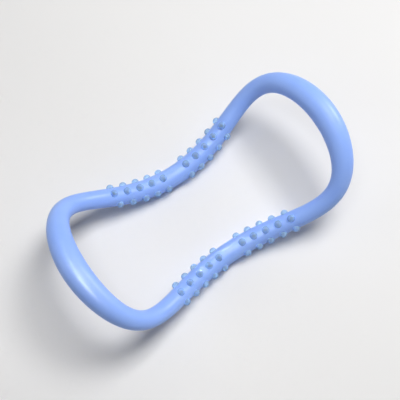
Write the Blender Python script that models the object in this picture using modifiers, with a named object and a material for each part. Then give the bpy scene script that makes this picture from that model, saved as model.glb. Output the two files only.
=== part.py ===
"""Hourglass pilates ring: two rigid half shells joined into one tube, with soft nub strips in both waists.

Metres, +Z up. X runs along the ring and Y across it, with the front waist at -Y. The ring stands on the
lowest nub of each bottom strip, and Z = 0 is the flat under those four nubs.
"""

from math import asin, cos, pi, sin, tau

import bmesh
import bpy
from mathutils import Matrix, Vector

# Ring, as seen from above and from the side
RING_LENGTH = 0.2400        # outside, from end to end
WAIST_WIDTH = 0.0964        # outside, over the tubes of both waists, without nubs
LOBE_SWELL = 0.0903         # how strongly each lobe widens beyond the waist
LOBE_TAPER = 0.0374         # how much of that swell the very end gives up
END_ROUNDING = 0.0191       # fullness of the lobe's corners along X
END_SQUARING = 0.0151       # extra fullness of the waist's run along X
END_RISE = 0.0654           # height of the end's centreline over the waist's
ARM_LIFT = 0.0102           # extra height of the arms between waist and end

# Tube
END_DIAMETER = 0.0200
ARM_DIAMETER = 0.0146
WAIST_DIAMETER = 0.0166
WALL = 0.0030
CLEARANCE = 0.0003          # between any two pieces that meet
TONGUE_WIDTH = WALL / 3     # so that the wall stays as thick on both sides of the groove
TONGUE_HEIGHT = 0.0015

# Pins that line up the two shells
PIN_DIAMETER = 0.0030
PIN_LENGTH = 0.0040
SOCKET_WALL = 0.0014
POST_DIAMETER = PIN_DIAMETER + 2 * (CLEARANCE + SOCKET_WALL)

# Soft nubs
NUB_DIAMETER = 0.0061
NUB_HEIGHT = 0.0026
NUBS_PER_STRIP = 5
NUB_PITCH = 0.01025         # along X, the same in every row
MIDDLE_PITCH = 0.0225       # along X, across the plain middle of the waist
SIDE_ROW_ANGLE = 0.21       # radians that the inner and the outer row sit above the seam
NECK_DIAMETER = 0.0030
RUNNER_DIAMETER = 0.0020
RUNNER_OVERHANG = 0.0025    # past the outermost neck's axis
NECK_ROOT = 0.0005          # how far a neck reaches past the runner's axis
REST_FLAT_DEPTH = 0.0004    # cut off each of the four nubs that the ring stands on

# Fineness of the meshes
LOOP_STEPS = 56
SHELL_ARC_STEPS = 8
BORE_ARC_STEPS = 6
NUB_SIDES = 8
DOME_STEPS = 2
ROUND_SIDES = 8
MERGE_DISTANCE = 0.00001

# Colour, roughness and the angle past which an edge stays sharp
SHELL_FINISH = ((0.305, 0.502, 0.923), 0.35, 0.6)
NUB_FINISH = ((0.235, 0.407, 0.763), 0.45, 0.9)

WAISTS = {"front": -1, "back": 1}
SIDES = {"left": -1, "right": 1}
ROWS = {"top": pi / 2, "bottom": -pi / 2, "inner": pi - SIDE_ROW_ANGLE, "outer": SIDE_ROW_ANGLE}
SLOPE_STEP = 0.0001         # of the loop's parameter, for its direction
HALVINGS = 40               # of the search for a nub's place


def centre(t):
    """Point of the tube's centreline at parameter t, which is 0 at the right end and pi at the left one."""
    along, across = cos(t), sin(t)
    half_length = (RING_LENGTH - END_DIAMETER) / 2
    half_waist = (WAIST_WIDTH - WAIST_DIAMETER) / 2
    x = along * (half_length + END_ROUNDING * across ** 2 + END_SQUARING * across ** 4)
    y = across * (half_waist + LOBE_SWELL * along ** 2 - LOBE_TAPER * along ** 4)
    z = END_RISE * along ** 2 + ARM_LIFT * (along * across) ** 2
    return Vector((x, y, z))


def radius(t):
    """Outer radius of the tube: full at the ends, slim in the arms and medium in the waists."""
    level = cos(2 * t)
    mean = (END_DIAMETER + WAIST_DIAMETER) / 2
    lean = (END_DIAMETER - WAIST_DIAMETER) / 2
    return (ARM_DIAMETER + (mean - ARM_DIAMETER) * level ** 2 + lean * level) / 2


def section_axes(t):
    """Outward and upward unit directions of the tube's round section at t. The outward one is level."""
    tangent = (centre(t + SLOPE_STEP) - centre(t - SLOPE_STEP)).normalized()
    outward = tangent.cross(Vector((0, 0, 1))).normalized()
    return outward, outward.cross(tangent)


def section_point(t, outward_offset, upward_offset):
    """Point of the section at t, off the centreline by the two distances."""
    outward, upward = section_axes(t)
    return centre(t) + outward * outward_offset + upward * upward_offset


def row_direction(row, t):
    """Unit direction from the centreline to the named row of nubs."""
    outward, upward = section_axes(t)
    return outward * cos(ROWS[row]) + upward * sin(ROWS[row])


def row_parameter(row, waist, x):
    """Parameter t at which the row's line on the tube's surface passes x, on the given waist."""
    low, high = 0, pi
    for _ in range(HALVINGS):
        t = (low + high) / 2
        point = centre(waist * t) + row_direction(row, waist * t) * radius(t)
        if point.x > x:
            low = t
        else:
            high = t
    return waist * (low + high) / 2


def nub_stations(side):
    """X of a strip's nubs, from the middle of the waist outward."""
    return [side * (MIDDLE_PITCH / 2 + NUB_PITCH * index) for index in range(NUBS_PER_STRIP)]


def rest_drop():
    """How far the flats under the lowest nubs lie below the waist's centreline height."""
    t = row_parameter("bottom", WAISTS["front"], nub_stations(SIDES["right"])[0])
    base = centre(t) + row_direction("bottom", t) * (radius(t) + CLEARANCE)
    return NUB_HEIGHT - REST_FLAT_DEPTH - base.z


LIFT = Matrix.Translation((0, 0, rest_drop()))


def placed(direction, origin, spin):
    """Matrix that sets +Z on direction and +X as near spin as it can, at origin."""
    side = (spin - direction * spin.dot(direction)).normalized()
    turn = Matrix((side, direction.cross(side), direction)).transposed()
    return LIFT @ Matrix.Translation(origin) @ turn.to_4x4()


def fresh_collection(name):
    collection = bpy.data.collections.new(name)
    bpy.context.scene.collection.children.link(collection)
    return collection


def add_object(name, mesh, collection):
    mesh.name = name
    part = bpy.data.objects.new(name, mesh)
    collection.objects.link(part)
    return part


def add_cutter(name, mesh, cutters):
    cutter = add_object(name, mesh, cutters)
    cutter.hide_render = True
    cutter.display_type = "WIRE"
    return cutter


def boolean(part, operation, other):
    modifier = part.modifiers.new(other.name, "BOOLEAN")
    modifier.operation = operation
    modifier.object = other
    modifier.solver = "EXACT"


def finish(part, look):
    """Give the part a material of its own and smooth shading between its sharp edges."""
    colour, roughness, sharp_angle = look
    material = bpy.data.materials.new(part.name)
    material.use_nodes = True
    shader = material.node_tree.nodes["Principled BSDF"]
    shader.inputs["Base Color"].default_value = (*colour, 1)
    shader.inputs["Roughness"].default_value = roughness
    shader.inputs["Metallic"].default_value = 0
    part.data.materials.append(material)
    part.data.shade_smooth()
    part.data.set_sharp_from_angle(angle=sharp_angle)


def looped_mesh(name, sections):
    """Skin a closed run of sections that each list their points in the same order."""
    shape = bmesh.new()
    rings = [[shape.verts.new(point) for point in section] for section in sections]
    for ring, following in zip(rings, rings[1:] + rings[:1]):
        for here, there in zip(range(len(ring)), list(range(1, len(ring))) + [0]):
            shape.faces.new((ring[here], ring[there], following[there], following[here]))
    bmesh.ops.recalc_face_normals(shape, faces=shape.faces)
    mesh = bpy.data.meshes.new(name)
    shape.to_mesh(mesh)
    shape.free()
    return mesh


def turned_mesh(name, profile, steps):
    """Turn a profile of (radius, height) points, listed from the top down, about Z."""
    outline = bpy.data.meshes.new(name)
    points = [(distance, 0, height) for distance, height in profile]
    outline.from_pydata(points, [(index, index + 1) for index in range(len(points) - 1)], [])
    holder = add_object(name, outline, bpy.context.scene.collection)
    screw = holder.modifiers.new("Turn", "SCREW")
    screw.steps = steps
    screw.render_steps = steps
    screw.use_merge_vertices = True
    screw.merge_threshold = MERGE_DISTANCE
    return evaluated_mesh(holder)


def evaluated_mesh(holder):
    """The holder's mesh with its modifiers or bevel worked out. The holder itself is removed."""
    graph = bpy.context.evaluated_depsgraph_get()
    mesh = bpy.data.meshes.new_from_object(holder.evaluated_get(graph))
    bpy.data.objects.remove(holder)
    shape = bmesh.new()
    shape.from_mesh(mesh)
    bmesh.ops.remove_doubles(shape, verts=shape.verts, dist=MERGE_DISTANCE)
    shape.to_mesh(mesh)
    shape.free()
    return mesh


def joined_mesh(name, groups):
    """One mesh of separate copies: each group is a mesh and the matrices of its copies."""
    shape = bmesh.new()
    for mesh, matrices in groups:
        for matrix in matrices:
            copy = mesh.copy()
            copy.transform(matrix)
            shape.from_mesh(copy)
            bpy.data.meshes.remove(copy)
    joined = bpy.data.meshes.new(name)
    shape.to_mesh(joined)
    shape.free()
    return joined


def arc(reach, rim, steps, count_down):
    """Points of a half circle above the height rim, from +outward to -outward or back."""
    start = asin(rim / reach)
    angles = [start + (pi - 2 * start) * index / steps for index in range(steps + 1)]
    points = [(reach * cos(angle), reach * sin(angle)) for angle in angles]
    return points[::-1] if count_down else points


def shell_section(t, tongue_tip, tongue_half_width, upward_sign):
    """Half ring section with a tongue or a groove in both rims, for the upper or the lower shell."""
    rim = CLEARANCE / 2
    outer = radius(t)
    middle = outer - WALL / 2
    near, far = middle - tongue_half_width, middle + tongue_half_width
    left_rim = [(-far, rim), (-far, tongue_tip), (-near, tongue_tip), (-near, rim)]
    right_rim = [(-outward, height) for outward, height in left_rim[::-1]]
    outline = arc(outer, rim, SHELL_ARC_STEPS, False) + left_rim
    outline += arc(outer - WALL, rim, BORE_ARC_STEPS, True) + right_rim
    return [LIFT @ section_point(t, outward, height * upward_sign) for outward, height in outline]


def shell_mesh(name, tongue_tip, tongue_half_width, upward_sign):
    turns = [tau * index / LOOP_STEPS for index in range(LOOP_STEPS)]
    return looped_mesh(name, [shell_section(t, tongue_tip, tongue_half_width, upward_sign) for t in turns])


def post_places():
    """Middle of each end and of each waist, where the ring runs level: parameter and matrix of each post."""
    level = [quarter * pi / 2 for quarter in range(4)]
    return [(t, placed(Vector((0, 0, 1)), centre(t), Vector((1, 0, 0)))) for t in level]


def upper_post_mesh(t):
    """Post from the middle of the upper wall down to the rim, with its pin below."""
    rim = CLEARANCE / 2
    root = radius(t) - WALL / 2
    post, pin = POST_DIAMETER / 2, PIN_DIAMETER / 2
    tip = rim - PIN_LENGTH
    profile = [(0, root), (post, root), (post, rim), (pin, rim), (pin, tip), (0, tip)]
    return turned_mesh("upper_post", profile, ROUND_SIDES)


def lower_post_mesh(t):
    """Solid post from the rim down to the middle of the lower wall. Its socket is cut later."""
    post = POST_DIAMETER / 2
    rim, root = -CLEARANCE / 2, WALL / 2 - radius(t)
    return turned_mesh("lower_post", [(0, rim), (post, rim), (post, root), (0, root)], ROUND_SIDES)


def socket_mesh():
    """Bore for a pin, from above the lower rim to just past the pin's tip."""
    bore = PIN_DIAMETER / 2 + CLEARANCE
    top, bottom = PIN_LENGTH / 2, CLEARANCE / 2 - PIN_LENGTH - CLEARANCE
    return turned_mesh("socket", [(0, top), (bore, top), (bore, bottom), (0, bottom)], ROUND_SIDES)


def neck_hole_mesh():
    """Hole for a nub's neck, from above the dome's base to the end of the neck."""
    reach = NECK_DIAMETER / 2 + CLEARANCE
    top, bottom = NUB_HEIGHT / 2, -neck_length()
    return turned_mesh("neck_hole", [(0, top), (reach, top), (reach, bottom), (0, bottom)], NUB_SIDES)


def neck_length():
    """From a nub's base, through the wall, to just past the runner's axis."""
    return CLEARANCE + WALL + CLEARANCE + RUNNER_DIAMETER / 2 + NECK_ROOT


def nub_mesh():
    """Domed nub on its neck. Z = 0 is the dome's flat base."""
    rise = [pi / 2 * (1 - index / DOME_STEPS) for index in range(1, DOME_STEPS)]
    dome = [(0, NUB_HEIGHT)] + [(NUB_DIAMETER / 2 * cos(angle), NUB_HEIGHT * sin(angle)) for angle in rise]
    neck = NECK_DIAMETER / 2
    profile = dome + [(NUB_DIAMETER / 2, 0), (neck, 0), (neck, -neck_length()), (0, -neck_length())]
    return turned_mesh("nub", profile, NUB_SIDES)


def strip_places(row, waist, side):
    """Places of a strip's nubs on the tube, base just clear of the surface."""
    matrices = []
    for x in nub_stations(side):
        t = row_parameter(row, waist, x)
        direction = row_direction(row, t)
        base = centre(t) + direction * (radius(t) + CLEARANCE)
        matrices.append(placed(direction, base, Vector((1, 0, 0))))
    return matrices


def runner_mesh(name, row, waist, side):
    """Thin bar under the bore's surface that joins the necks of one strip."""
    stations = nub_stations(side)
    stops = [stations[0] - side * RUNNER_OVERHANG] + stations + [stations[-1] + side * RUNNER_OVERHANG]
    curve = bpy.data.curves.new(name, "CURVE")
    curve.dimensions = "3D"
    curve.bevel_depth = RUNNER_DIAMETER / 2
    curve.bevel_resolution = 0
    curve.use_fill_caps = True
    spline = curve.splines.new("POLY")
    spline.points.add(len(stops) - 1)
    for point, x in zip(spline.points, stops):
        t = row_parameter(row, waist, x)
        depth = radius(t) - WALL - CLEARANCE - RUNNER_DIAMETER / 2
        point.co = (*(LIFT @ (centre(t) + row_direction(row, t) * depth)), 1)
    holder = bpy.data.objects.new(name, curve)
    bpy.context.scene.collection.objects.link(holder)
    return evaluated_mesh(holder)


def build_strip(name, row, waist, side, nub, floor, parts, cutters):
    """One soft strip: a runner with its nubs, cut flat at the floor where it reaches it."""
    strip = add_object(name, runner_mesh(name, row, waist, side), parts)
    nubs = add_cutter(name + "_nubs", joined_mesh(name, [(nub, strip_places(row, waist, side))]), cutters)
    boolean(strip, "UNION", nubs)
    if row == "bottom":
        boolean(strip, "DIFFERENCE", floor)
    finish(strip, NUB_FINISH)


def build_shells(parts, cutters):
    """The two rigid halves of the tube, with their posts, pins, sockets and neck holes."""
    rim, tongue = CLEARANCE / 2, TONGUE_WIDTH / 2
    tongued = shell_mesh("upper_shell", rim - TONGUE_HEIGHT, tongue, 1)
    grooved = shell_mesh("lower_shell", rim + TONGUE_HEIGHT, tongue + CLEARANCE, -1)
    upper = add_object("upper_shell", tongued, parts)
    lower = add_object("lower_shell", grooved, parts)

    upper_posts = joined_mesh("upper_posts", [(upper_post_mesh(t), [place]) for t, place in post_places()])
    lower_posts = joined_mesh("lower_posts", [(lower_post_mesh(t), [place]) for t, place in post_places()])
    boolean(upper, "UNION", add_cutter("upper_posts", upper_posts, cutters))
    boolean(lower, "UNION", add_cutter("lower_posts", lower_posts, cutters))

    necks = [place for row in ROWS for waist in WAISTS.values() for side in SIDES.values()
             for place in strip_places(row, waist, side)]
    hole = neck_hole_mesh()
    sockets = [place for t, place in post_places()]
    upper_cuts = joined_mesh("upper_cuts", [(hole, necks)])
    lower_cuts = joined_mesh("lower_cuts", [(hole, necks), (socket_mesh(), sockets)])
    boolean(upper, "DIFFERENCE", add_cutter("upper_cuts", upper_cuts, cutters))
    boolean(lower, "DIFFERENCE", add_cutter("lower_cuts", lower_cuts, cutters))
    finish(upper, SHELL_FINISH)
    finish(lower, SHELL_FINISH)


def floor_mesh():
    """Block whose top face is the floor that the ring stands on."""
    shape = bmesh.new()
    bmesh.ops.create_cube(shape, size=RING_LENGTH)
    bmesh.ops.translate(shape, verts=shape.verts, vec=(0, 0, -RING_LENGTH / 2))
    mesh = bpy.data.meshes.new("floor_plane")
    shape.to_mesh(mesh)
    shape.free()
    return mesh


def main():
    for leftover in list(bpy.data.objects):
        bpy.data.objects.remove(leftover, do_unlink=True)
    parts = fresh_collection("pilates_ring")
    cutters = fresh_collection("cutters")
    build_shells(parts, cutters)
    floor = add_cutter("floor_plane", floor_mesh(), cutters)
    nub = nub_mesh()
    for waist_name, waist in WAISTS.items():
        for side_name, side in SIDES.items():
            for row in ROWS:
                name = f"nub_strip_{waist_name}_{side_name}_{row}"
                build_strip(name, row, waist, side, nub, floor, parts, cutters)


main()
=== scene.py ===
"""Hourglass pilates ring: the dressed model, its studio floor, lamps and camera.

Metres, +Z up. X runs along the ring and Y across it, with the front waist at -Y. Z = 0 is the floor, on
which the ring stands with the lowest nub of each bottom strip.
"""

import json
import logging
from collections.abc import Iterator, Sequence
from dataclasses import dataclass, field
from enum import Enum
from math import asin, cos, pi, radians, sin, sqrt, tau

import bmesh
import bpy
from mathutils import Matrix, Vector


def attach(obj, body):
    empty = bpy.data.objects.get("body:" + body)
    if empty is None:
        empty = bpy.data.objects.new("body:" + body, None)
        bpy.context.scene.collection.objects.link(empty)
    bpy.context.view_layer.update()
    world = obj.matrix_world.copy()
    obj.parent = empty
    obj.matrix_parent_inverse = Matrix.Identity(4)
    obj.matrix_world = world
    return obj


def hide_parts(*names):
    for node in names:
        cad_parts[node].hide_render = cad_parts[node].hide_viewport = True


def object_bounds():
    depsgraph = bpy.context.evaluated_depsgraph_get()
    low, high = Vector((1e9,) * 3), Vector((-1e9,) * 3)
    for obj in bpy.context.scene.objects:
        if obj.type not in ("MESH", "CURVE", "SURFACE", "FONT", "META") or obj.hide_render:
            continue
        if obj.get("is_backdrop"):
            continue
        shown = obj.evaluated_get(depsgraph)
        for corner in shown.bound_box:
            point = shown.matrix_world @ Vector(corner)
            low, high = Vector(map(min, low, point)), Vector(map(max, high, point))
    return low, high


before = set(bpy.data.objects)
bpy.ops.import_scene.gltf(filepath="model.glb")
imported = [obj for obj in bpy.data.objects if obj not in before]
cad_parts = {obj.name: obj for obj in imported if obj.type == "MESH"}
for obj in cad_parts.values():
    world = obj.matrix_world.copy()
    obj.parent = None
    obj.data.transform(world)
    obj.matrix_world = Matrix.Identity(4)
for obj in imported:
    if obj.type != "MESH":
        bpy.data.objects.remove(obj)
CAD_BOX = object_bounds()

BODY = "root"
MERGE_DISTANCE = 0.000002
SHELL_SHARP_ANGLE = radians(40)
NUB_SHARP_ANGLE = radians(50)

# The side rows stand this far above the seam, in radians: 12 degrees.
SIDE_ROW_LIFT = 0.21

# A noise's values lie mostly inside these bands, so what follows it takes its whole range across one.
NARROW_BAND = (0.35, 0.65)
WIDE_BAND = (0.3, 0.7)

report = logging.getLogger("pilates_ring")


class ShellHalf(Enum):
    """Which half of the tube a shell is. The value is the side of the seam that it lies on."""

    UPPER = 1
    LOWER = -1


class Waist(Enum):
    """One of the two waists. The value is its side along Y."""

    FRONT = -1
    BACK = 1


class Side(Enum):
    """Half of a waist. The value is its side along X."""

    LEFT = -1
    RIGHT = 1


class Row(Enum):
    """Row of nubs round the tube. The value is its angle in radians, from outward through up to inward."""

    TOP = pi / 2
    BOTTOM = -pi / 2
    INNER = pi - SIDE_ROW_LIFT
    OUTER = SIDE_ROW_LIFT


def linear(hex_colour: str) -> tuple[float, float, float, float]:
    """Turn an sRGB hex colour into Blender's linear one.

    Args:
        hex_colour: Colour as "#rrggbb".

    Returns:
        Red, green, blue and an alpha of 1.
    """
    shares = [int(hex_colour[start:start + 2], 16) / 255 for start in (1, 3, 5)]
    straight = [share / 12.92 if share <= 0.04045 else ((share + 0.055) / 1.055) ** 2.4 for share in shares]
    return (*straight, 1.0)


def add_node(
    tree: bpy.types.NodeTree,
    kind: str,
    inputs: dict[str | int, object] | None = None,
    **settings: object,
) -> bpy.types.Node:
    """Add one node with its settings and links.

    Args:
        tree: Node tree that gets the node.
        kind: Blender's name of the node type.
        inputs: For each input socket, the value it is set to, or the output socket that is linked to it.
        settings: Properties of the node itself.

    Returns:
        The new node.
    """
    node = tree.nodes.new(kind)
    for name, value in settings.items():
        setattr(node, name, value)
    for socket, value in (inputs or {}).items():
        if isinstance(value, bpy.types.NodeSocket):
            tree.links.new(value, node.inputs[socket])
        else:
            node.inputs[socket].default_value = value
    return node


def fresh_material(name: str) -> bpy.types.Material:
    """Make an empty node material.

    Args:
        name: What it is called.

    Returns:
        The material, with no node in it.
    """
    material = bpy.data.materials.new(name)
    material.use_nodes = True
    material.node_tree.nodes.clear()
    return material


@dataclass(frozen=True)
class MouldedPolypropylene:
    """Polypropylene, injection moulded in a polished tool: dense light blue, with a satin gloss.

    Flow marks vary its colour faintly over about 18 mm, and slight sink ripples its surface over 3.5 mm.
    """

    body_colour: str = "#92B5FF"
    pale_colour: str = "#97B9FF"
    roughness: float = 0.40
    roughness_swing: float = 0.06
    reflection: float = 0.25
    sheen_roughness: float = 0.12
    sheen_share: float = 0.03
    ior: float = 1.49
    flow_size: float = 0.018
    sink_size: float = 0.0035
    sink_depth: float = 0.00002

    def material(self) -> bpy.types.Material:
        """Make the material. The eye gets a soft, even blue with long, faintly uneven highlights.

        Returns:
            The finished material.
        """
        material = fresh_material("polypropylene_moulded_satin")
        tree = material.node_tree
        place = add_node(tree, "ShaderNodeTexCoord").outputs["Object"]
        flow = add_node(
            tree,
            "ShaderNodeTexNoise",
            {"Vector": place, "Scale": 1 / self.flow_size, "Detail": 3.0, "Roughness": 0.55},
        )
        sink = add_node(
            tree,
            "ShaderNodeTexNoise",
            {"Vector": place, "Scale": 1 / self.sink_size, "Detail": 2.0, "Roughness": 0.5},
        )
        drift = add_node(
            tree,
            "ShaderNodeMapRange",
            {"Value": flow.outputs[0], "From Min": NARROW_BAND[0], "From Max": NARROW_BAND[1]},
        )
        colour = add_node(
            tree,
            "ShaderNodeMix",
            {0: drift.outputs[0], 6: linear(self.body_colour), 7: linear(self.pale_colour)},
            data_type="RGBA",
        )
        gloss = add_node(
            tree,
            "ShaderNodeMapRange",
            {
                "Value": sink.outputs[0],
                "From Min": WIDE_BAND[0],
                "From Max": WIDE_BAND[1],
                "To Min": self.roughness - self.roughness_swing / 2,
                "To Max": self.roughness + self.roughness_swing / 2,
            },
        )
        relief = add_node(
            tree,
            "ShaderNodeBump",
            {"Height": sink.outputs[0], "Distance": self.sink_depth, "Strength": 1.0},
        )
        shader = add_node(
            tree,
            "ShaderNodeBsdfPrincipled",
            {
                "Base Color": colour.outputs[2],
                "Roughness": gloss.outputs[0],
                "Normal": relief.outputs[0],
                "IOR": self.ior,
                "Specular IOR Level": self.reflection,
                "Coat Weight": self.sheen_share,
                "Coat Roughness": self.sheen_roughness,
            },
        )
        add_node(tree, "ShaderNodeOutputMaterial", {"Surface": shader.outputs[0]})
        return material


@dataclass(frozen=True)
class SoftElastomer:
    """Thermoplastic elastomer, moulded soft and half clear, so that what lies behind a nub shows through.

    The real elastomer's IOR is near 1.5. It is lower here, matched to the weak glint and the straight view
    through a nub. The tool's grain is about 0.2 mm and is drawn at 0.7 mm, so that it shows.
    """

    body_colour: str = "#C1E0FF"
    deep_colour: str = "#B7DAFF"
    roughness: float = 0.20
    ior: float = 1.06
    clearness: float = 0.56
    cloud_size: float = 0.004
    grain_size: float = 0.0007
    grain_depth: float = 0.00001

    def material(self) -> bpy.types.Material:
        """Make the material. The eye gets a rubbery, half see-through bead with a soft glint.

        Returns:
            The finished material.
        """
        material = fresh_material("elastomer_moulded_soft")
        tree = material.node_tree
        place = add_node(tree, "ShaderNodeTexCoord").outputs["Object"]
        cloud = add_node(
            tree,
            "ShaderNodeTexNoise",
            {"Vector": place, "Scale": 1 / self.cloud_size, "Detail": 2.0, "Roughness": 0.5},
        )
        grain = add_node(
            tree,
            "ShaderNodeTexNoise",
            {"Vector": place, "Scale": 1 / self.grain_size, "Detail": 1.0, "Roughness": 0.5},
        )
        drift = add_node(
            tree,
            "ShaderNodeMapRange",
            {"Value": cloud.outputs[0], "From Min": NARROW_BAND[0], "From Max": NARROW_BAND[1]},
        )
        colour = add_node(
            tree,
            "ShaderNodeMix",
            {0: drift.outputs[0], 6: linear(self.deep_colour), 7: linear(self.body_colour)},
            data_type="RGBA",
        )
        relief = add_node(
            tree,
            "ShaderNodeBump",
            {"Height": grain.outputs[0], "Distance": self.grain_depth, "Strength": 1.0},
        )
        shader = add_node(
            tree,
            "ShaderNodeBsdfPrincipled",
            {
                "Base Color": colour.outputs[2],
                "Normal": relief.outputs[0],
                "Roughness": self.roughness,
                "IOR": self.ior,
                "Transmission Weight": self.clearness,
            },
        )
        add_node(tree, "ShaderNodeOutputMaterial", {"Surface": shader.outputs[0]})
        return material


@dataclass(frozen=True)
class StudioPaper:
    """Seamless background paper: matt, near white, with a faint cloudiness."""

    light_colour: str = "#EEEDEC"
    shade_colour: str = "#EAE9E8"
    roughness: float = 0.9
    reflection: float = 0.2
    cloud_size: float = 0.35

    def material(self) -> bpy.types.Material:
        """Make the material. The eye gets plain pale paper that takes soft shadows.

        Returns:
            The finished material.
        """
        material = fresh_material("studio_paper")
        tree = material.node_tree
        place = add_node(tree, "ShaderNodeTexCoord").outputs["Object"]
        cloud = add_node(
            tree,
            "ShaderNodeTexNoise",
            {"Vector": place, "Scale": 1 / self.cloud_size, "Detail": 1.0},
        )
        drift = add_node(
            tree,
            "ShaderNodeMapRange",
            {"Value": cloud.outputs[0], "From Min": NARROW_BAND[0], "From Max": NARROW_BAND[1]},
        )
        colour = add_node(
            tree,
            "ShaderNodeMix",
            {0: drift.outputs[0], 6: linear(self.shade_colour), 7: linear(self.light_colour)},
            data_type="RGBA",
        )
        shader = add_node(
            tree,
            "ShaderNodeBsdfPrincipled",
            {
                "Base Color": colour.outputs[2],
                "Roughness": self.roughness,
                "Specular IOR Level": self.reflection,
            },
        )
        add_node(tree, "ShaderNodeOutputMaterial", {"Surface": shader.outputs[0]})
        return material


@dataclass(frozen=True)
class LoopShape:
    """Centreline and thickness of the bent tube, the same as in the part's solids.

    Only waist_width differs. It is 0.07 mm less, which keeps the rounder nubs inside the solids' box.
    """

    length: float = 0.2400
    waist_width: float = 0.09633
    lobe_swell: float = 0.0903
    lobe_taper: float = 0.0374
    end_rounding: float = 0.0191
    end_squaring: float = 0.0151
    end_rise: float = 0.0654
    arm_lift: float = 0.0102
    end_diameter: float = 0.0200
    arm_diameter: float = 0.0146
    waist_diameter: float = 0.0166
    waist_height: float = 0.010333
    slope_step: float = 0.0001
    halvings: int = 40

    def centre(self, turn: float) -> Vector:
        """Point of the centreline.

        Args:
            turn: Where on the loop, 0 at the right end and pi at the left one.

        Returns:
            The point.
        """
        along, across = cos(turn), sin(turn)
        half_length = (self.length - self.end_diameter) / 2
        half_waist = (self.waist_width - self.waist_diameter) / 2
        x = along * (half_length + self.end_rounding * across**2 + self.end_squaring * across**4)
        y = across * (half_waist + self.lobe_swell * along**2 - self.lobe_taper * along**4)
        z = self.waist_height + self.end_rise * along**2 + self.arm_lift * (along * across) ** 2
        return Vector((x, y, z))

    def radius(self, turn: float) -> float:
        """Outer radius of the tube: full at the ends, slim in the arms and medium in the waists.

        Args:
            turn: Where on the loop.

        Returns:
            The radius.
        """
        level = cos(2 * turn)
        mean = (self.end_diameter + self.waist_diameter) / 2
        lean = (self.end_diameter - self.waist_diameter) / 2
        return (self.arm_diameter + (mean - self.arm_diameter) * level**2 + lean * level) / 2

    def tangent(self, turn: float) -> Vector:
        """Unit direction of the centreline at turn."""
        step = self.slope_step
        return (self.centre(turn + step) - self.centre(turn - step)).normalized()

    def axes(self, turn: float) -> tuple[Vector, Vector]:
        """Directions across the round section.

        Args:
            turn: Where on the loop.

        Returns:
            Outward unit direction, which is level, and upward unit direction.
        """
        tangent = self.tangent(turn)
        outward = tangent.cross(Vector((0, 0, 1))).normalized()
        return outward, outward.cross(tangent)

    def section_place(self, turn: float) -> Matrix:
        """Matrix that sets a section, drawn at the waist's size, on the tube.

        Args:
            turn: Where on the loop.

        Returns:
            Matrix with X outward, Y upward and Z along the tube, scaled to the tube's thickness there.
        """
        outward, upward = self.axes(turn)
        frame_of_section = Matrix((outward, upward, outward.cross(upward))).transposed().to_4x4()
        scale = self.radius(turn) / (self.waist_diameter / 2)
        return Matrix.Translation(self.centre(turn)) @ frame_of_section @ Matrix.Scale(scale, 4)

    def row_direction(self, row: Row, turn: float) -> Vector:
        """Unit direction from the centreline to the row of nubs."""
        outward, upward = self.axes(turn)
        return outward * cos(row.value) + upward * sin(row.value)

    def row_turn(self, row: Row, waist: Waist, x: float) -> float:
        """Find where the row's line on the tube passes x.

        Args:
            row: The row of nubs.
            waist: The waist it is on.
            x: Place along the ring.

        Returns:
            The turn, found by halving.
        """
        low, high = 0.0, pi
        for _ in range(self.halvings):
            turn = (low + high) / 2
            there = waist.value * turn
            point = self.centre(there) + self.row_direction(row, there) * self.radius(there)
            if point.x > x:
                low = turn
            else:
                high = turn
        return waist.value * (low + high) / 2


def drawn_on(shape: bmesh.types.BMesh, tip: bmesh.types.BMVert, step: Sequence[float]) -> bmesh.types.BMVert:
    """Draw an outline on from its last point.

    Args:
        shape: The mesh that holds the outline.
        tip: Its last point.
        step: The way to the next point.

    Returns:
        The next point.
    """
    grown = bmesh.ops.extrude_vert_indiv(shape, verts=[tip])["verts"]
    bmesh.ops.translate(shape, verts=grown, vec=step)
    return grown[0]


def swept(shape: bmesh.types.BMesh, places: Sequence[Matrix]) -> None:
    """Sweep the outline that the mesh holds through the places.

    Args:
        shape: Mesh with the edges of one section and nothing else.
        places: Matrix of the section at each station.
    """
    ring = list(shape.edges)
    bmesh.ops.transform(shape, matrix=places[0], verts=shape.verts)
    for before, after in zip(places, places[1:]):
        grown = bmesh.ops.extrude_edge_only(shape, edges=ring)["geom"]
        points = {item for item in grown if isinstance(item, bmesh.types.BMVert)}
        edges = (item for item in grown if isinstance(item, bmesh.types.BMEdge))
        ring = [edge for edge in edges if points.issuperset(edge.verts)]
        bmesh.ops.transform(shape, matrix=after @ before.inverted(), verts=list(points))


def closed_up(shape: bmesh.types.BMesh) -> None:
    """Merge doubled points and turn every face outward."""
    bmesh.ops.remove_doubles(shape, verts=shape.verts, dist=MERGE_DISTANCE)
    bmesh.ops.recalc_face_normals(shape, faces=shape.faces)


def finished_piece(
    name: str,
    shape: bmesh.types.BMesh,
    material: bpy.types.Material,
    sharp_angle: float,
) -> bpy.types.Object:
    """Turn a shape into an object at the origin, smooth between its sharp edges.

    Args:
        name: Name of the piece.
        shape: Its mesh, which is freed.
        material: Its finish.
        sharp_angle: Angle in radians past which an edge stays sharp.

    Returns:
        The object.
    """
    mesh = bpy.data.meshes.new(name)
    shape.to_mesh(mesh)
    shape.free()
    mesh.materials.append(material)
    mesh.shade_smooth()
    mesh.set_sharp_from_angle(angle=sharp_angle)
    piece = bpy.data.objects.new(name, mesh)
    bpy.context.scene.collection.objects.link(piece)
    return piece


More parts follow.
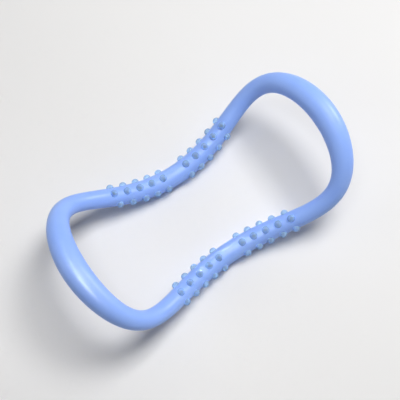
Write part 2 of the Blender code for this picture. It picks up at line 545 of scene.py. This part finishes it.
@dataclass
class HalfShell:
    """One rigid half of the tube, from end to end of the loop, with a tongue or a groove in both rims."""

    loop: LoopShape
    half: ShellHalf
    material: bpy.types.Material
    wall: float = 0.0030
    seam_gap: float = 0.00010
    seam_rounding: float = 0.00025
    rounding_steps: int = 3
    tongue_width: float = 0.0010
    tongue_height: float = 0.0015
    clearance: float = 0.0003
    outer_steps: int = 36
    bore_steps: int = 18
    stations: int = 240

    def outline(self) -> bmesh.types.BMesh:
        """Draw the closed section at the waist's size, outward along X, with the rims just above X.

        Returns:
            Mesh with the section's edges.
        """
        shape = bmesh.new()
        outer = self.loop.waist_diameter / 2
        bore = outer - self.wall
        rim = self.seam_gap / 2
        if self.half is ShellHalf.UPPER:
            width, height = self.tongue_width, -self.tongue_height
        else:
            width, height = self.tongue_width + 2 * self.clearance, self.tongue_height
        land = (self.wall - width) / 2
        across_rim = ((land, 0, 0), (0, height, 0), (width, 0, 0), (0, -height, 0), (land, 0, 0))

        start = asin(rim / outer)
        right_corner = shape.verts.new((outer * cos(start), rim, 0))
        arc = bmesh.ops.spin(
            shape,
            geom=[right_corner],
            cent=(0, 0, 0),
            axis=(0, 0, 1),
            angle=pi - 2 * start,
            steps=self.outer_steps,
        )
        tip = arc["geom_last"][0]
        for step in across_rim:
            tip = drawn_on(shape, tip, step)
        back = pi - 2 * asin(rim / bore)
        arc = bmesh.ops.spin(
            shape,
            geom=[tip],
            cent=(0, 0, 0),
            axis=(0, 0, 1),
            angle=-back,
            steps=self.bore_steps,
        )
        tip = arc["geom_last"][0]
        for step in across_rim:
            tip = drawn_on(shape, tip, step)
        bmesh.ops.pointmerge(shape, verts=[right_corner, tip], merge_co=right_corner.co)

        # Only the two outermost corners show, on the seam.
        corners = sorted(
            shape.verts,
            key=lambda point: (abs(point.co.y - rim) > MERGE_DISTANCE, -abs(point.co.x)),
        )[:2]
        bmesh.ops.bevel(
            shape,
            geom=corners,
            offset=self.seam_rounding,
            offset_type="OFFSET",
            segments=self.rounding_steps,
            profile=0.5,
            affect="VERTICES",
            material=-1,
        )
        return shape

    def build(self) -> bpy.types.Object:
        """Sweep the section round the loop and dress it.

        Returns:
            The finished half shell.
        """
        shape = self.outline()
        flip = Matrix.Diagonal((1, self.half.value, 1, 1))
        turns = [tau * index / self.stations for index in range(self.stations + 1)]
        swept(shape, [self.loop.section_place(turn) @ flip for turn in turns])
        closed_up(shape)
        name = self.half.name.lower() + "_shell"
        piece = finished_piece(name + "_moulded", shape, self.material, SHELL_SHARP_ANGLE)
        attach(piece, BODY)
        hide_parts(name)
        return piece


@dataclass
class NubStrip:
    """Five soft nubs on one runner inside the tube, each through its own hole in the shell."""

    loop: LoopShape
    waist: Waist
    side: Side
    row: Row
    material: bpy.types.Material
    nub_diameter: float = 0.0061
    nub_height: float = 0.0029
    nub_count: int = 5
    nub_pitch: float = 0.01025
    middle_pitch: float = 0.0225
    neck_diameter: float = 0.0030
    neck_length: float = 0.0048
    runner_diameter: float = 0.0020
    runner_depth: float = 0.0043
    runner_overhang: float = 0.0025
    seat_gap: float = 0.00002
    dome_steps: int = 8
    brim_steps: int = 3
    neck_steps: int = 2
    nub_sides: int = 28
    runner_sides: int = 12
    runner_steps_per_nub: int = 4

    def stations(self) -> list[float]:
        """Place of each nub along X, from the middle of the waist outward."""
        middle = self.middle_pitch / 2
        return [self.side.value * (middle + self.nub_pitch * index) for index in range(self.nub_count)]

    def nub_place(self, turn: float) -> Matrix:
        """Place of a nub: Z away from the tube, and its origin on the tube's surface.

        Args:
            turn: Where on the loop it stands.

        Returns:
            Matrix with X along the tube.
        """
        direction = self.loop.row_direction(self.row, turn)
        along = self.loop.tangent(turn)
        turned = Matrix((along, direction.cross(along), direction)).transposed().to_4x4()
        return Matrix.Translation(self.loop.centre(turn) + direction * self.loop.radius(turn)) @ turned

    def nub(self) -> bmesh.types.BMesh:
        """Turn one nub with its neck. Z = 0 is the tube's surface.

        Returns:
            Mesh of the nub, before its brim is bent to the tube.
        """
        shape = bmesh.new()
        brim_radius = self.nub_diameter / 2
        neck_radius = self.neck_diameter / 2
        crown = shape.verts.new((0, 0, brim_radius))
        arc = bmesh.ops.spin(
            shape,
            geom=[crown],
            cent=(0, 0, 0),
            axis=(0, 1, 0),
            angle=pi / 2,
            steps=self.dome_steps,
        )
        bmesh.ops.scale(shape, vec=(1, 1, self.nub_height / brim_radius), verts=shape.verts)
        tip = arc["geom_last"][0]
        inward = (-(brim_radius - neck_radius) / self.brim_steps, 0, 0)
        down = (0, 0, -self.neck_length / self.neck_steps)
        for step in [inward] * self.brim_steps + [down] * self.neck_steps + [(-neck_radius, 0, 0)]:
            tip = drawn_on(shape, tip, step)
        bmesh.ops.spin(
            shape,
            geom=shape.verts[:] + shape.edges[:],
            cent=(0, 0, 0),
            axis=(0, 0, 1),
            angle=tau,
            steps=self.nub_sides,
            use_merge=True,
        )
        closed_up(shape)
        return shape

    def seated(self, shape: bmesh.types.BMesh, turn: float) -> None:
        """Bend a nub's brim down to the round tube and set the nub in its place.

        Args:
            shape: Mesh of the nub.
            turn: Where on the loop it stands.
        """
        tube = self.loop.radius(turn) + self.seat_gap
        for point in shape.verts:
            height = max(point.co.z, 0) / self.nub_height
            drop = tube - sqrt(tube**2 - point.co.y**2)
            point.co.z += self.seat_gap - drop * (1 - height) ** 2
        bmesh.ops.transform(shape, matrix=self.nub_place(turn), verts=shape.verts)

    def pressed_flat(self, shape: bmesh.types.BMesh) -> None:
        """Cut off what reaches below the floor, as the ring's weight flattens a soft nub.

        Args:
            shape: Mesh of the seated nub.
        """
        cut = bmesh.ops.bisect_plane(
            shape,
            geom=shape.verts[:] + shape.edges[:] + shape.faces[:],
            plane_co=(0, 0, 0),
            plane_no=(0, 0, -1),
            clear_outer=True,
        )["geom_cut"]
        rim = [item for item in cut if isinstance(item, bmesh.types.BMEdge)]
        if rim:
            bmesh.ops.contextual_create(shape, geom=rim)

    def runner(self) -> bmesh.types.BMesh:
        """Draw the round bar under the bore's surface that joins the necks.

        Returns:
            Mesh of the bar.
        """
        shape = bmesh.new()
        bmesh.ops.create_circle(shape, segments=self.runner_sides, radius=self.runner_diameter / 2)
        ends = self.stations()
        first = ends[0] - self.side.value * self.runner_overhang
        last = ends[-1] + self.side.value * self.runner_overhang
        count = self.runner_steps_per_nub * self.nub_count
        places = []
        for index in range(count + 1):
            turn = self.loop.row_turn(self.row, self.waist, first + (last - first) * index / count)
            direction = self.loop.row_direction(self.row, turn)
            along = self.loop.tangent(turn)
            turned = Matrix((direction, along.cross(direction), along)).transposed().to_4x4()
            depth = self.loop.radius(turn) - self.runner_depth
            places.append(Matrix.Translation(self.loop.centre(turn) + direction * depth) @ turned)
        swept(shape, places)
        bmesh.ops.holes_fill(shape, edges=shape.edges, sides=self.runner_sides)
        closed_up(shape)
        return shape

    def build(self) -> bpy.types.Object:
        """Build the nubs and their runner as one soft piece and dress it.

        Returns:
            The finished strip.
        """
        name = "_".join(("nub_strip", self.waist.name, self.side.name, self.row.name)).lower()
        strip = self.runner()
        for x in self.stations():
            nub = self.nub()
            self.seated(nub, self.loop.row_turn(self.row, self.waist, x))
            if self.row is Row.BOTTOM:
                self.pressed_flat(nub)
            mesh = bpy.data.meshes.new("nub")
            nub.to_mesh(mesh)
            nub.free()
            strip.from_mesh(mesh)
            bpy.data.meshes.remove(mesh)
        piece = finished_piece(name + "_soft", strip, self.material, NUB_SHARP_ANGLE)
        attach(piece, BODY)
        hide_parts(name)
        return piece


@dataclass
class NeckHoles:
    """Round holes through a shell's wall, one round each nub's neck.

    The half-clear nubs on top read dark in the middle because of the hole behind them.
    """

    strips: list[NubStrip]
    clearance: float = 0.00015
    outer_reach: float = 0.0010
    inner_reach: float = 0.0042
    sides: int = 24

    def rods(self) -> bpy.types.Object:
        """Make the rods that are taken out of the shell.

        Returns:
            One object with a rod for each hole.
        """
        shape = bmesh.new()
        length = self.outer_reach + self.inner_reach
        middle = Matrix.Translation((0, 0, (self.outer_reach - self.inner_reach) / 2))
        for strip in self.strips:
            radius = strip.neck_diameter / 2 + self.clearance
            for x in strip.stations():
                place = strip.nub_place(strip.loop.row_turn(strip.row, strip.waist, x))
                bmesh.ops.create_cone(
                    shape,
                    cap_ends=True,
                    segments=self.sides,
                    radius1=radius,
                    radius2=radius,
                    depth=length,
                    matrix=place @ middle,
                )
        mesh = bpy.data.meshes.new("neck_hole_rods")
        shape.to_mesh(mesh)
        shape.free()
        rods = bpy.data.objects.new("neck_hole_rods", mesh)
        bpy.context.scene.collection.objects.link(rods)
        return rods

    def cut(self, shell: bpy.types.Object) -> None:
        """Cut the holes and leave the shell with a plain mesh.

        Args:
            shell: The half shell to cut.
        """
        rods = self.rods()
        step = shell.modifiers.new("neck_holes", "BOOLEAN")
        step.operation = "DIFFERENCE"
        step.solver = "EXACT"
        step.object = rods
        view = bpy.context.evaluated_depsgraph_get()
        uncut = shell.data
        cut = bpy.data.meshes.new_from_object(shell.evaluated_get(view), depsgraph=view)
        shell.modifiers.remove(step)
        shell.data = cut
        cut.set_sharp_from_angle(angle=SHELL_SHARP_ANGLE)
        bpy.data.meshes.remove(uncut)
        rod_mesh = rods.data
        bpy.data.objects.remove(rods)
        bpy.data.meshes.remove(rod_mesh)


@dataclass
class PilatesRing:
    """The whole ring: two half shells and sixteen nub strips."""

    loop: LoopShape = field(default_factory=LoopShape)
    shell_finish: MouldedPolypropylene = field(default_factory=MouldedPolypropylene)
    nub_finish: SoftElastomer = field(default_factory=SoftElastomer)

    def pieces(self) -> Iterator[bpy.types.Object]:
        """Build the pieces one by one.

        Yields:
            Each finished piece.
        """
        plastic = self.shell_finish.material()
        rubber = self.nub_finish.material()
        strips = [
            NubStrip(self.loop, waist, side, row, rubber) for waist in Waist for side in Side for row in Row
        ]
        for half in ShellHalf:
            shell = HalfShell(self.loop, half, plastic).build()
            through = [strip for strip in strips if (strip.row is Row.BOTTOM) == (half is ShellHalf.LOWER)]
            NeckHoles(through).cut(shell)
            yield shell
        for strip in strips:
            yield strip.build()


@dataclass
class StudioFloor:
    """Sheet of background paper under the ring."""

    finish: StudioPaper = field(default_factory=StudioPaper)
    half_size: float = 3.0
    divisions: int = 8

    def build(self) -> bpy.types.Object:
        """Lay the paper at Z = 0 and mark it as a stage.

        Returns:
            The floor.
        """
        shape = bmesh.new()
        bmesh.ops.create_grid(
            shape,
            x_segments=self.divisions,
            y_segments=self.divisions,
            size=self.half_size,
        )
        floor = finished_piece("studio_floor", shape, self.finish.material(), sharp_angle=radians(30))
        floor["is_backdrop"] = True
        return floor


@dataclass
class Softbox:
    """Soft rectangular lamp, aimed at the ring.

    Its spread is the angle in degrees that its light is held to. A lamp for glints only shows in gloss and
    lights neither matt surfaces nor the inside of the nubs.
    """

    name: str
    place: tuple[float, float, float]
    width: float
    depth: float
    watts: float
    aim: tuple[float, float, float] = (0.0, 0.0, 0.03)
    spread: float = 180.0
    glints_only: bool = False

    def build(self) -> bpy.types.Object:
        """Hang the lamp.

        Returns:
            The lamp.
        """
        light = bpy.data.lights.new(self.name, "AREA")
        light.shape = "RECTANGLE"
        light.size = self.width
        light.size_y = self.depth
        light.energy = self.watts
        light.spread = radians(self.spread)
        lamp = bpy.data.objects.new(self.name, light)
        lamp.location = self.place
        lamp.visible_diffuse = not self.glints_only
        lamp.visible_transmission = not self.glints_only
        back = (Vector(self.place) - Vector(self.aim)).normalized()
        across = (Vector((1, 0, 0)) - back * back.x).normalized()
        lamp.rotation_euler = Matrix((across, back.cross(across), back)).transposed().to_euler()
        bpy.context.scene.collection.objects.link(lamp)
        return lamp


@dataclass
class StudioLamps:
    """All the lamps: a key from the right end's side, four weak fills, and seven for glints only."""

    streak_aim: tuple[float, float, float] = (-0.11, 0.0, 0.085)
    streak_line: tuple[float, float] = (-0.20, 1.00)
    streak_size: tuple[float, float] = (0.12, 0.29)
    streak_spread: float = 24.0
    waist_glint_size: float = 0.07
    waist_glint_watts: float = 0.020
    waist_glint_spread: float = 5.0

    def streaks(self) -> list[Softbox]:
        """Make the row of lamps across the ring that draws the streak on the left end.

        Returns:
            Three lamps, from front to back. The last one is weaker, as the streak is there.
        """
        x, height = self.streak_line
        width, depth = self.streak_size
        across = ((-0.26, 0.26), (0.03, 0.26), (0.32, 0.14))
        return [
            Softbox(
                f"overhead_streak_{number}",
                (x, y, height),
                width,
                depth,
                watts,
                aim=self.streak_aim,
                spread=self.streak_spread,
                glints_only=True,
            )
            for number, (y, watts) in enumerate(across, start=1)
        ]

    def waist_glints(self) -> list[Softbox]:
        """Make the narrow lamps that draw white glints between the front left waist's top nubs.

        Returns:
            Three lamps, one for each glint.
        """
        places_and_aims = (
            ((0.60, 1.05, 1.00), (-0.031, -0.041, 0.022)),
            ((0.40, 1.03, 0.83), (-0.020, -0.039, 0.020)),
            ((0.27, 1.09, 0.80), (-0.006, -0.037, 0.018)),
        )
        return [
            Softbox(
                f"waist_glint_{number}",
                place,
                self.waist_glint_size,
                self.waist_glint_size,
                self.waist_glint_watts,
                aim=aim,
                spread=self.waist_glint_spread,
                glints_only=True,
            )
            for number, (place, aim) in enumerate(places_and_aims, start=1)
        ]

    def broad_lamps(self) -> list[Softbox]:
        """Make the key, the fills and the broad glint on the right end.

        Returns:
            Six lamps.
        """
        return [
            Softbox("key_softbox", (0.47, 0.08, 1.15), width=0.60, depth=0.45, watts=12.3),
            Softbox("overhead_fill", (-0.12, 0.0, 1.00), width=0.25, depth=0.30, watts=1.3),
            Softbox("right_fill", (1.10, 0.0, 0.45), width=0.60, depth=0.60, watts=2.0),
            Softbox("left_fill", (-0.95, 0.50, 0.45), width=0.60, depth=0.60, watts=1.9),
            Softbox("front_low_fill", (0.0, -1.05, 0.16), width=0.70, depth=0.25, watts=0.6),
            Softbox("right_glint", (1.80, 0.10, 1.00), width=0.90, depth=0.50, watts=32.0, glints_only=True),
        ]

    def build(self) -> None:
        """Hang all the lamps."""
        for lamp in self.streaks() + self.waist_glints() + self.broad_lamps():
            lamp.build()


@dataclass
class StudioAir:
    """Even light from the pale room round the set."""

    colour: str = "#FFFFFF"
    strength: float = 0.065

    def build(self) -> bpy.types.World:
        """Set the world's light.

        Returns:
            The world.
        """
        world = bpy.data.worlds.new("studio_air")
        world.use_nodes = True
        tree = world.node_tree
        tree.nodes.clear()
        air = add_node(
            tree,
            "ShaderNodeBackground",
            {"Color": linear(self.colour), "Strength": self.strength},
        )
        add_node(tree, "ShaderNodeOutputWorld", {"Surface": air.outputs[0]})
        bpy.context.scene.world = world
        return world


@dataclass
class StudioCamera:
    """Camera held over the ring's front left corner, looking down."""

    place: tuple[float, float, float] = (-0.0992, -0.1518, 0.60871)
    aim: tuple[float, float, float] = (-0.00132, 0.00076, 0.0451)
    roll: float = -1.54
    lens: float = 68.7
    sensor_width: float = 36.0
    clip_start: float = 0.01

    def build(self) -> bpy.types.Object:
        """Place the camera and make it the scene's.

        Returns:
            The camera.
        """
        data = bpy.data.cameras.new("studio_camera")
        data.lens = self.lens
        data.sensor_width = self.sensor_width
        data.sensor_fit = "HORIZONTAL"
        data.clip_start = self.clip_start
        camera = bpy.data.objects.new("studio_camera", data)
        camera.location = self.place
        look = (Vector(self.aim) - Vector(self.place)).to_track_quat("-Z", "Y").to_matrix()
        camera.rotation_euler = (look @ Matrix.Rotation(radians(self.roll), 3, "Z")).to_euler()
        bpy.context.scene.collection.objects.link(camera)
        bpy.context.scene.camera = camera
        return camera


def main() -> None:
    """Build the ring, its floor, lamps, air and camera, and work out both boxes."""
    logging.basicConfig(level=logging.INFO, format="%(message)s")
    bpy.context.scene.view_settings.view_transform = "Standard"
    for piece in PilatesRing().pieces():
        report.info("%s: %d faces", piece.name, len(piece.data.polygons))
    StudioFloor().build()
    StudioLamps().build()
    StudioAir().build()
    StudioCamera().build()
    boxes = {"cad": CAD_BOX, "visual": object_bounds()}
    json.dumps({key: [list(corner) for corner in box] for key, box in boxes.items()})


if __name__ == "__main__":
    main()
